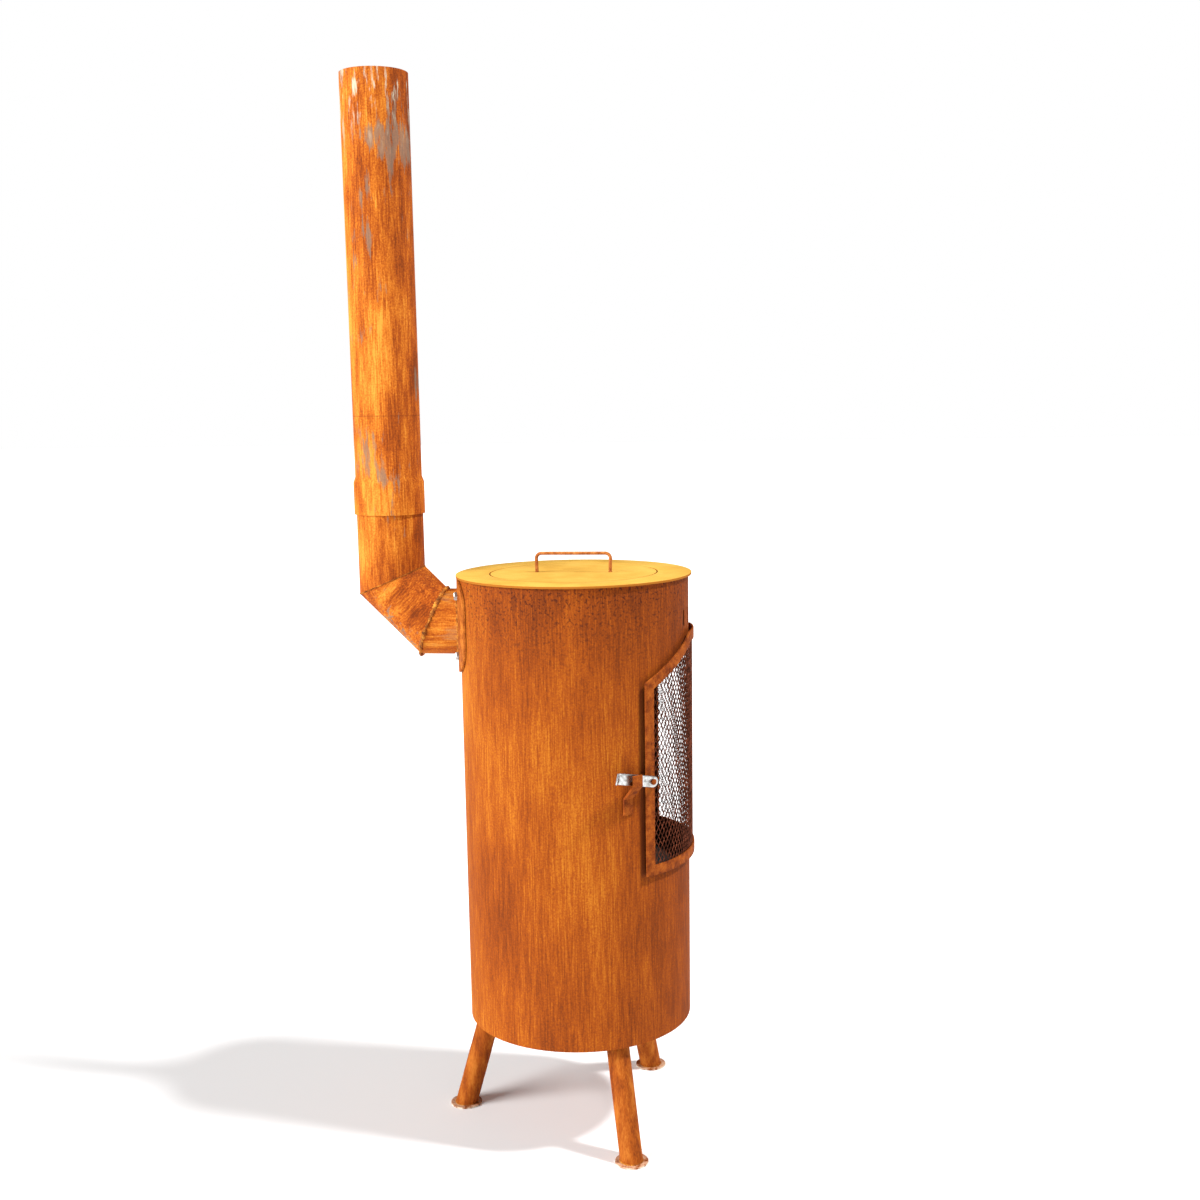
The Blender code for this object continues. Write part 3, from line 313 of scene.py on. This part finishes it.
def rustedBar(name, pale, middle, dark, worn=None, wornBelow=-1.0, drawn=1.0):
    # small bars and rods of the same steel, rusted in blotches, the rust rubbed off where they are handled
    material, tree, shader = newMaterial(name)
    plain = addNode(tree, "ShaderNodeTexCoord").outputs["Object"]
    local = addNode(tree, "ShaderNodeMapping", {"Vector": plain, "Scale": (1, 1, drawn)}).outputs[0]
    blotch = addNode(tree, "ShaderNodeTexNoise", {
        "Vector": local, "Scale": 1 / 0.014, "Detail": 5.0, "Roughness": 0.65}).outputs["Fac"]
    grain = addNode(tree, "ShaderNodeTexNoise", {
        "Vector": local, "Scale": 1 / 0.0018, "Detail": 2.0}).outputs["Fac"]
    tone = addNode(tree, "ShaderNodeMath", {0: grain, 1: 0.6, 2: -0.65}, operation="MULTIPLY_ADD").outputs[0]
    tone = addNode(tree, "ShaderNodeMath", {0: blotch, 1: 1.7, 2: tone}, operation="MULTIPLY_ADD").outputs[0]
    colour = addNode(tree, "ShaderNodeValToRGB", {
        "Fac": tone}, stops=[(0.2, dark), (0.5, middle), (0.8, pale)]).outputs[0]
    if worn:
        height = addNode(tree, "ShaderNodeSeparateXYZ", {0: plain}).outputs["Z"]
        low = addNode(tree, "ShaderNodeMapRange", {
            "Value": height, "From Min": wornBelow, "From Max": wornBelow - 0.0015}).outputs[0]
        patchy = addNode(tree, "ShaderNodeMapRange", {
            "Value": blotch, "From Min": 0.40, "From Max": 0.55}).outputs[0]
        share = addNode(tree, "ShaderNodeMath", {0: low, 1: patchy}, operation="MULTIPLY").outputs[0]
        colour = addNode(tree, "ShaderNodeMix", {
            "Factor": share, 6: colour, 7: linear(worn)}, data_type="RGBA").outputs[2]
    tree.links.new(colour, shader.inputs["Base Color"])
    shader.inputs["Roughness"].default_value = 0.8
    shader.inputs["Specular IOR Level"].default_value = 0.12
    bump = addNode(tree, "ShaderNodeBump", {"Height": grain, "Strength": 0.4, "Distance": 0.0003})
    tree.links.new(bump.outputs[0], shader.inputs["Normal"])
    return material


def zincPlate(name):
    # bright zinc-plated mild steel: a cool, silky metal with faint cloudy handling marks
    material, tree, shader = newMaterial(name)
    local = addNode(tree, "ShaderNodeTexCoord").outputs["Object"]
    marks = addNode(tree, "ShaderNodeTexNoise", {
        "Vector": local, "Scale": 1 / 0.006, "Detail": 4.0}).outputs["Fac"]
    colour = addNode(tree, "ShaderNodeValToRGB", {
        "Fac": marks}, stops=[(0.35, "#9C9A94"), (0.65, "#D8DADB")]).outputs[0]
    rough = addNode(tree, "ShaderNodeMapRange", {
        "Value": marks, "From Min": 0.3, "From Max": 0.7, "To Min": 0.36, "To Max": 0.22})
    tree.links.new(colour, shader.inputs["Base Color"])
    tree.links.new(rough.outputs[0], shader.inputs["Roughness"])
    shader.inputs["Metallic"].default_value = 1.0
    return material


def sootyIron(name):
    # cast iron that has seen fire: near-black soot with a little brown rust in the low spots
    material, tree, shader = newMaterial(name)
    local = addNode(tree, "ShaderNodeTexCoord").outputs["Object"]
    rust = addNode(tree, "ShaderNodeTexNoise", {
        "Vector": local, "Scale": 1 / 0.03, "Detail": 6.0}).outputs["Fac"]
    grain = addNode(tree, "ShaderNodeTexNoise", {
        "Vector": local, "Scale": 1 / 0.002, "Detail": 2.0}).outputs["Fac"]
    colour = addNode(tree, "ShaderNodeValToRGB", {
        "Fac": rust}, stops=[(0.45, "#241F1C"), (0.62, "#4A2A1A")]).outputs[0]
    tree.links.new(colour, shader.inputs["Base Color"])
    shader.inputs["Roughness"].default_value = 0.78
    bump = addNode(tree, "ShaderNodeBump", {"Height": grain, "Strength": 0.6, "Distance": 0.0005})
    tree.links.new(bump.outputs[0], shader.inputs["Normal"])
    return material


slant = (-math.pi / 4, 0, 0)  # brings the slanted flue length upright for its streaks
bendMiddle = middleOf("flue_bend")
stubMiddle = middleOf("flue_stub")
finish = {
    "drum": cortenSteel("cortenSheetRolled", drumCorten),
    "chimney": cortenSteel("cortenPipeDrawn", pipeCorten),
    "riser": cortenSteel("cortenPipeUpright", {
    **pipeCorten, "lift": -0.10, "seam": None, "scale": 0.75, "scuffsFrom": None}),
    "bend": cortenSteel("cortenPipeSlanted", {
        **pipeCorten, "litSideLift": 0.0, "axis": bendMiddle, "turn": slant, "inside": 0.0, "lift": -0.06,
        "scuffsFrom": None, "seam": None}),
    "stub": cortenSteel("cortenPipeLevel", {
        **pipeCorten, "litSideLift": 0.0, "scale": 0.3, "axis": stubMiddle, "turn": (math.pi / 2, 0, 0),
        "lift": 0.0, "scuffsFrom": None, "seam": None}),
    "plate": flatPlateSteel("cortenPlateBloomed", plateCorten),
    "bar": rustedBar("cortenBarRolled", "#A8581A", "#8A400E", "#602608"),
    "flange": rustedBar("cortenPlateLaserCut", "#C27428", "#A2561A", "#78380E"),
    "leg": rustedBar("cortenTubeDrawn", "#B06420", "#96490F", "#70300A", drawn=0.25),
    "foot": rustedBar("cortenDiscScuffed", "#C27A2C", "#A4581C", "#703614", "#D8CCB8",
    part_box("foot_disc_1")[1].z + 0.0006),
    "rod": rustedBar("hotRolledRodRusted", "#C98A52", "#B06A34", "#83451E"),
    "bead": rustedBar("weldBeadRusted", "#D8953A", "#9A5820", "#54301A"),
    "mesh": rustedBar("expandedSteelRusted", "#844630", "#5A2C1A", "#3A1C12"),
    "zinc": zincPlate("zincPlatedSteel"),
    "iron": sootyIron("castIronSooty"),
}
print("materials made:", len(finish))


def smoothPiece(node, material, edge=0.0, sharp=35):
    # the node's triangles are loose, so a merged copy stands for it and takes smooth shading
    mesh = frame["nodes"][node].data.copy()
    mesh.attributes.remove(mesh.attributes["custom_normal"])
    shape = bmesh.new()
    shape.from_mesh(mesh)
    bmesh.ops.remove_doubles(shape, verts=shape.verts, dist=1e-6)
    bmesh.ops.dissolve_limit(shape, angle_limit=math.radians(0.3), verts=shape.verts, edges=shape.edges)
    shape.to_mesh(mesh)
    shape.free()
    mesh.materials.clear()
    mesh.materials.append(material)
    piece = bpy.data.objects.new(node + "_skin", mesh)
    bpy.context.scene.collection.objects.link(piece)
    if edge:
        bevel = piece.modifiers.new("edge", "BEVEL")
        bevel.width = edge
        bevel.segments = 2
        bevel.limit_method = "ANGLE"
        bevel.angle_limit = math.radians(40)
        bevel.use_clamp_overlap = True
        bpy.context.view_layer.update()
        plain = bpy.data.meshes.new_from_object(piece.evaluated_get(bpy.context.evaluated_depsgraph_get()))
        piece.modifiers.clear()
        piece.data = plain
    piece.data.shade_smooth()
    piece.data.set_sharp_from_angle(angle=math.radians(sharp))
    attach(piece, frame["nodes"][node]["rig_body"])
    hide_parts(node)
    return piece


skins = {
    "drum_shell": ("drum", 0), "chimney_pipe": ("chimney", 0), "flue_riser": ("riser", 0),
    "flue_bend": ("bend", 0), "flue_stub": ("stub", 0), "flue_flange": ("flange", 0.0006),
    "top_plate": ("plate", 0.0006), "lid_plate": ("plate", 0), "door_frame": ("bar", 0.0005),
    "latch_keeper": ("bar", 0.0006), "latch_spacer": ("bar", 0), "latch_rivet": ("bar", 0),
    "leg_1": ("leg", 0), "leg_2": ("leg", 0), "leg_3": ("leg", 0),
    "foot_disc_1": ("foot", 0), "foot_disc_2": ("foot", 0), "foot_disc_3": ("foot", 0),
    "base_plate": ("bar", 0), "fire_floor_ring": ("iron", 0), "lid_seat_ring": ("bar", 0),
    "hinge_bracket_lower": ("bar", 0), "hinge_bracket_upper": ("bar", 0),
    "door_knuckle_lower": ("bar", 0), "door_knuckle_upper": ("bar", 0),
}
for node, (kind, edge) in skins.items():
    smoothPiece(node, finish[kind], edge=edge)
smoothPiece("lid_handle", finish["rod"], sharp=60)
smoothPiece("latch_lever", finish["zinc"], edge=0.0006)
smoothPiece("fire_grate", finish["iron"], edge=0.0008)
fasteners = [node for node in frame["nodes"] if node.startswith(("hinge_pin", "flange_bolt", "flange_nut"))]
for node in fasteners:
    smoothPiece(node, finish["zinc"])
print("CAD pieces given smooth skins:", len(skins) + len(fasteners) + 3)  # 3 more by name above


def newTree(name, sizes):
    tree = bpy.data.node_groups.new(name, "GeometryNodeTree")
    tree.interface.new_socket("Geometry", in_out="INPUT", socket_type="NodeSocketGeometry")
    for label, value in sizes.items():
        kind = "NodeSocketMaterial" if value is None else "NodeSocketInt" if isinstance(value,
            int) else "NodeSocketFloat"
        socket = tree.interface.new_socket(label, in_out="INPUT", socket_type=kind)
        if value is not None:
            socket.default_value = value
    tree.interface.new_socket("Geometry", in_out="OUTPUT", socket_type="NodeSocketGeometry")
    start = addNode(tree, "NodeGroupInput").outputs
    return tree, start


def grow(name, tree, source, values, body, smooth=True):
    # runs a tree on a source object and keeps the result as a plain mesh that rides on its body
    builder = source or bpy.data.objects.new(name + "_source", bpy.data.meshes.new(name + "_source"))
    bpy.context.scene.collection.objects.link(builder)
    modifier = builder.modifiers.new("grow", "NODES")
    modifier.node_group = tree
    sockets = {item.name: item.identifier for item in tree.interface.items_tree if item.in_out == "INPUT"}
    for label, value in values.items():
        modifier[sockets[label]] = value
    bpy.context.view_layer.update()
    mesh = bpy.data.meshes.new_from_object(builder.evaluated_get(bpy.context.evaluated_depsgraph_get()))
    builder.modifiers.clear()
    bpy.data.objects.remove(builder)
    piece = bpy.data.objects.new(name, mesh)
    bpy.context.scene.collection.objects.link(piece)
    if smooth:
        mesh.shade_smooth()
    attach(piece, body)
    return piece


# expanded metal: tall diamonds of slit and drawn sheet, rolled to the door's curve
doorMesh = {
    "Long Way": 0.015, "Short Way": 0.009, "Strand": 0.0016, "Thickness": 0.0010, "Twist": 0.6,
    "Columns": 44, "Rows": 30,
}
doorFrame = {"flatTop": 0.101, "slopeHeight": 0.070, "tuck": 0.009}

meshOuter = drumAxis.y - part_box("door_mesh")[0].y
halfArc = (arcEnds[1] - arcEnds[0]) / 2 * frameOuter
slope = math.atan2(doorFrame["slopeHeight"], halfArc - doorFrame["flatTop"] / 2)
inset = doorFrame["tuck"]
doorLimits = {
    "Half Arc": halfArc - inset,
    "Low": frameLow.z + inset,
    "High": frameHigh.z - inset,
    "Slope Across": math.sin(slope),
    "Slope Up": math.cos(slope),
    "Slope Reach": math.sin(slope) * doorFrame["flatTop"] / 2 + math.cos(slope) * frameHigh.z - inset,
    "Arc Middle": (arcEnds[0] + arcEnds[1]) / 2 * frameOuter,
    "Arc Radius": frameOuter,
    "Roll Radius": meshOuter - doorMesh["Thickness"] / 2,
    "Middle Height": (frameLow.z + frameHigh.z) / 2,
    "Axis Y": drumAxis.y,
}


def expandedMetalTree():
    tree, size = newTree("expandedMetal", {**doorMesh, **doorLimits, "Material": None})

    def calc(operation, *values):
        return addNode(tree, "ShaderNodeMath", dict(enumerate(values)), operation=operation).outputs[0]

    across = calc("MULTIPLY", size["Columns"], size["Short Way"])
    tall = calc("MULTIPLY", size["Rows"], size["Long Way"])
    grid = addNode(tree, "GeometryNodeMeshGrid", {
        "Size X": across, "Size Y": tall, "Vertices X": size["Columns"],
        "Vertices Y": size["Rows"]}).outputs["Mesh"]
    # the grid spans one cell too few, so its points are spread to the true pitch
    spread = addNode(tree, "ShaderNodeCombineXYZ", {
        0: calc("DIVIDE", size["Columns"], calc("SUBTRACT", size["Columns"], 1.0)),
        1: calc("DIVIDE", size["Rows"], calc("SUBTRACT", size["Rows"], 1.0)), 2: 1.0}).outputs[0]
    grid = addNode(tree, "GeometryNodeTransform", {"Geometry": grid, "Scale": spread}).outputs[0]
    place = addNode(tree, "ShaderNodeSeparateXYZ", {
        0: addNode(tree, "GeometryNodeInputPosition").outputs[0]}).outputs
    side = calc("ABSOLUTE", place["X"])
    up = calc("ADD", place["Y"], size["Middle Height"])
    slanted = calc("MULTIPLY_ADD", side, size["Slope Across"], calc("MULTIPLY", up, size["Slope Up"]))
    outside = calc("MAXIMUM", calc("GREATER_THAN", side, size["Half Arc"]),
        calc("LESS_THAN", up, size["Low"]))
    outside = calc("MAXIMUM", outside, calc("GREATER_THAN", up, size["High"]))
    outside = calc("MAXIMUM", outside, calc("GREATER_THAN", slanted, size["Slope Reach"]))
    drop = addNode(tree, "FunctionNodeCompare", {
        0: outside, 1: 0.5}, data_type="FLOAT", operation="GREATER_THAN").outputs[0]
    kept = addNode(tree, "GeometryNodeDeleteGeometry", {
        "Geometry": grid, "Selection": drop}, domain="POINT").outputs[0]

    halfTall = calc("DIVIDE", calc("MULTIPLY_ADD", size["Strand"], 0.5, size["Long Way"]), 2.0)
    wide = calc("MULTIPLY_ADD", size["Strand"], 0.5, size["Short Way"])
    diamond = addNode(tree, "GeometryNodeCurvePrimitiveQuadrilateral", {
        "Width": wide, "Bottom Height": halfTall, "Top Height": halfTall}, mode="KITE").outputs[0]
    strand = addNode(tree, "GeometryNodeCurvePrimitiveQuadrilateral", {
        "Width": size["Strand"], "Height": size["Thickness"]}, mode="RECTANGLE").outputs[0]
    twisted = addNode(tree, "GeometryNodeTransform", {
        "Geometry": strand, "Rotation": addNode(tree, "ShaderNodeCombineXYZ", {
        2: size["Twist"]}).outputs[0]}).outputs[0]
    cell = addNode(tree, "GeometryNodeCurveToMesh", {
        "Curve": diamond, "Profile Curve": twisted, "Fill Caps": False}).outputs[0]
    cells = addNode(tree, "GeometryNodeInstanceOnPoints", {"Points": kept, "Instance": cell}).outputs[0]
    sheet = addNode(tree, "GeometryNodeRealizeInstances", {"Geometry": cells}).outputs[0]

    # roll the flat sheet round the drum's axis
    turn = calc("DIVIDE", calc("ADD", place["X"], size["Arc Middle"]), size["Arc Radius"])
    reach = calc("ADD", size["Roll Radius"], place["Z"])
    rolled = addNode(tree, "ShaderNodeCombineXYZ", {
        0: calc("MULTIPLY", reach, calc("SINE", turn)),
        1: calc("SUBTRACT", size["Axis Y"], calc("MULTIPLY", reach, calc("COSINE", turn))),
        2: up}).outputs[0]
    sheet = addNode(tree, "GeometryNodeSetPosition", {"Geometry": sheet, "Position": rolled}).outputs[0]
    done = addNode(tree, "GeometryNodeSetMaterial", {
        "Geometry": sheet, "Material": size["Material"]}).outputs[0]
    addNode(tree, "NodeGroupOutput", {"Geometry": done})
    return tree


meshSheet = grow("doorMeshSheet", expandedMetalTree(), None, {
    **doorMesh, **doorLimits, "Material": finish["mesh"]},
                 "door", smooth=False)
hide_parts("door_mesh")
print("door mesh rolled:", len(meshSheet.data.polygons), "faces")


# weld beads: overlapping ripples laid along a seam
def weldBeadTree():
    tree, size = newTree("weldBead", {
        "Pitch": 0.0022, "Width": 0.0045, "Height": 0.0028, "Unevenness": 0.2, "Seed": 4, "Material": None})
    path = addNode(tree, "GeometryNodeResampleCurve", {
        "Curve": size["Geometry"], "Length": size["Pitch"]}, mode="LENGTH").outputs[0]
    ripple = addNode(tree, "GeometryNodeMeshUVSphere", {
        "Segments": 8, "Rings": 5, "Radius": 0.5}).outputs["Mesh"]
    along = addNode(tree, "GeometryNodeInputTangent").outputs[0]
    facing = addNode(tree, "FunctionNodeAlignRotationToVector", {"Vector": along}, axis="Z").outputs[0]
    low = addNode(tree, "ShaderNodeMath", {0: 1.0, 1: size["Unevenness"]}, operation="SUBTRACT").outputs[0]
    high = addNode(tree, "ShaderNodeMath", {0: 1.0, 1: size["Unevenness"]}, operation="ADD").outputs[0]
    varied = addNode(tree, "FunctionNodeRandomValue", {
        2: low, 3: high, "Seed": size["Seed"]}, data_type="FLOAT").outputs[1]
    box = addNode(tree, "ShaderNodeCombineXYZ", {
        0: size["Width"], 1: size["Height"], 2: size["Height"]}).outputs[0]
    scale = addNode(tree, "ShaderNodeVectorMath", {0: box, "Scale": varied}, operation="SCALE").outputs[0]
    ripples = addNode(tree, "GeometryNodeInstanceOnPoints", {
        "Points": path, "Instance": ripple, "Rotation": facing, "Scale": scale}).outputs[0]
    bead = addNode(tree, "GeometryNodeRealizeInstances", {"Geometry": ripples}).outputs[0]
    done = addNode(tree, "GeometryNodeSetMaterial", {
        "Geometry": bead, "Material": size["Material"]}).outputs[0]
    addNode(tree, "NodeGroupOutput", {"Geometry": done})
    return tree


beadTree = weldBeadTree()


beads = {
    "flangeWeld": {"Width": 0.0060, "Height": 0.0048, "Unevenness": 0.30},
    "lowerMitreWeld": {"Width": 0.0080, "Height": 0.0052, "Unevenness": 0.45, "Seed": 9},
    "upperMitreWeld": {"Width": 0.0030, "Height": 0.0020, "Unevenness": 0.15},
    "footWelds": {"Width": 0.0030, "Height": 0.0026},
    "legWelds": {"Width": 0.0040, "Height": 0.0032},
    "basePlateWeld": {"Width": 0.0026, "Height": 0.0022, "Pitch": 0.0030},
    "handleWelds": {"Width": 0.0018, "Height": 0.0014, "Pitch": 0.0012},
}
plainBead = {"Pitch": 0.0022, "Unevenness": 0.2, "Seed": 4}  # where a weld above doesn't say


def weld(name, body, runs):
    # runs are lists of points, each going right round one seam
    curve = bpy.data.curves.new(name, "CURVE")
    curve.dimensions = "3D"
    for points in runs:
        spline = curve.splines.new("POLY")
        spline.points.add(len(points) - 1)
        for point, place in zip(spline.points, points):
            point.co = (*place, 1)
        spline.use_cyclic_u = True
    source = bpy.data.objects.new(name + "_path", curve)
    values = {**plainBead, **beads[name], "Material": finish["bead"]}
    return grow(name, beadTree, source, values, body)


def circle(count, place):
    return [place(math.tau * i / count) for i in range(count)]


def levelRing(centre, radius, count):
    return circle(count, lambda a: centre + Vector((math.cos(a), math.sin(a), 0)) * radius)


flangeOuter = drumRadius + 0.0045           # 1 mm off the drum, and 3.5 mm thick
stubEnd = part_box("flue_stub")[1].y          # the mitre's far point, at the bottom of the stub
mitre = math.tan(math.pi / 8)
firstBend = stubEnd - flueRadius * mitre
secondBend = Vector((0, chimneyAxis.y, flueHeight + chimneyAxis.y - firstBend))


def flangeSeam(angle):
    x, z = flueRadius * math.cos(angle), flueRadius * math.sin(angle)
    return Vector((x, drumAxis.y + math.sqrt(flangeOuter**2 - x**2), flueHeight + z))


def lowerMitre(angle):
    x, z = flueRadius * math.cos(angle), flueRadius * math.sin(angle)
    return Vector((x, firstBend - z * mitre, flueHeight + z))


def upperMitre(angle):
    x, y = flueRadius * math.cos(angle), flueRadius * math.sin(angle)
    return Vector((x, secondBend.y + y, secondBend.z - y * mitre))


weld("flangeWeld", "stove", [circle(90, flangeSeam)])
weld("lowerMitreWeld", "stove", [circle(90, lowerMitre)])
weld("upperMitreWeld", "stove", [circle(90, upperMitre)])


def legRing(foot, height, lean):
    # the slanted ellipse where a leg meets a level plate
    out = (foot - drumAxis).normalized()
    side = Vector((-out.y, out.x, 0))
    radius = sizeOf("leg_1").x / 2
    centre = foot - out * math.tan(lean) * height + Vector((0, 0, height))
    longWay = out * radius / math.cos(lean)
    shortWay = side * radius
    return circle(36, lambda a: centre + longWay * math.cos(a) + shortWay * math.sin(a))


legLean = math.radians(15.8)                # the legs splay outwards by this
feet = [Vector((*middleOf(f"foot_disc_{i}").xy, 0)) for i in (1, 2, 3)]
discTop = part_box("foot_disc_1")[1].z
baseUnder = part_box("base_plate")[0].z
weld("footWelds", "stove", [legRing(foot, discTop + 0.0004, legLean) for foot in feet])
weld("legWelds", "stove", [legRing(foot, baseUnder - 0.0004, legLean) for foot in feet])

baseSeam = drumAxis + Vector((0, 0, baseUnder + 0.0006))
weld("basePlateWeld", "stove", [levelRing(baseSeam, drumRadius - drumWall - 0.0008, 120)])

rod = sizeOf("lid_handle").x / 2
handleFootReach = 0.0645                    # from the lid's middle to each foot of its handle
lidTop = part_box("lid_plate")[1].z
handleFeet = [
    Vector((drumAxis.x, drumAxis.y + side * handleFootReach, lidTop + 0.0003)) for side in (-1, 1)]
weld("handleWelds", "lid", [levelRing(foot, rod, 16) for foot in handleFeet])
print("weld beads laid")

shot = {"turn": -82.0, "distance": 2.5795, "height": 1.300, "down": 9.72, "yaw": 0.98, "roll": -0.84,
        "lens": 44.5506, "shiftUp": 0.043192}


def addCamera():
    down, yaw, roll = (math.radians(shot[key]) for key in ("down", "yaw", "roll"))
    forward = Vector((math.sin(yaw) * math.cos(down), math.cos(yaw) * math.cos(down), -math.sin(down)))
    right = Vector((math.cos(yaw), -math.sin(yaw), 0))
    up = right.cross(forward)
    across = right * math.cos(roll) + up * math.sin(roll)
    above = up * math.cos(roll) - right * math.sin(roll)
    turn = Matrix.Rotation(math.radians(shot["turn"]), 3, "Z")
    axes = Matrix((turn @ across, turn @ above, turn @ -forward)).transposed()
    data = bpy.data.cameras.new("camera")
    data.lens = shot["lens"]
    data.shift_y = shot["shiftUp"]
    camera = bpy.data.objects.new("camera", data)
    place = drumAxis + turn @ Vector((0, -shot["distance"], shot["height"]))
    camera.matrix_world = Matrix.Translation(place) @ axes.to_4x4()
    bpy.context.scene.collection.objects.link(camera)
    bpy.context.scene.camera = camera


suns = {
    "leftPanel": {"around": -62, "above": 25, "strength": 4.6, "softness": 35},
    "highKey": {"around": 75, "above": 56, "strength": 3.6, "softness": 7},
    "frontFill": {"around": 5, "above": 20, "strength": 0.30, "softness": 60},
}


def addSun(name, around, above, strength, softness):
    # around is measured from the camera's side, positive to its right
    data = bpy.data.lights.new(name, "SUN")
    data.energy = strength
    data.angle = math.radians(softness)
    sun = bpy.data.objects.new(name, data)
    rise = math.radians(above)
    toLight = outward(math.radians(shot["turn"] + around)) * math.cos(rise) + Vector((0, 0, math.sin(rise)))
    sun.rotation_euler = toLight.to_track_quat("Z", "Y").to_euler()
    bpy.context.scene.collection.objects.link(sun)


addCamera()
for name, light in suns.items():
    addSun(name, **light)

world = bpy.data.worlds.new("studio")
world.use_nodes = True
bpy.context.scene.world = world
sky = world.node_tree
backdrop = sky.nodes["Background"]
backdrop.inputs["Color"].default_value = linear("#FFFFFF")
backdrop.inputs["Strength"].default_value = 0.22
seen = addNode(sky, "ShaderNodeBackground", {"Color": linear("#FFFFFF"), "Strength": 1.0})
path = addNode(sky, "ShaderNodeLightPath")
both = addNode(sky, "ShaderNodeMixShader", {
    0: path.outputs["Is Camera Ray"], 1: backdrop.outputs[0], 2: seen.outputs[0]})
sky.links.new(both.outputs[0], sky.nodes["World Output"].inputs["Surface"])
bpy.context.scene.view_settings.view_transform = "Standard"

floorMaterial, _, floorShader = newMaterial("paperFloor")
floorShader.inputs["Base Color"].default_value = linear("#F2F2F2")
floorShader.inputs["Roughness"].default_value = 0.9
floorMesh = bpy.data.meshes.new("floor")
floorShape = bmesh.new()
bmesh.ops.create_grid(floorShape, x_segments=1, y_segments=1, size=40,
    matrix=Matrix.Translation((0, 0, -0.0002)))
floorShape.to_mesh(floorMesh)
floorShape.free()
floorMesh.materials.append(floorMaterial)
floor = bpy.data.objects.new("floor", floorMesh)
bpy.context.scene.collection.objects.link(floor)
print("camera, light and floor set")
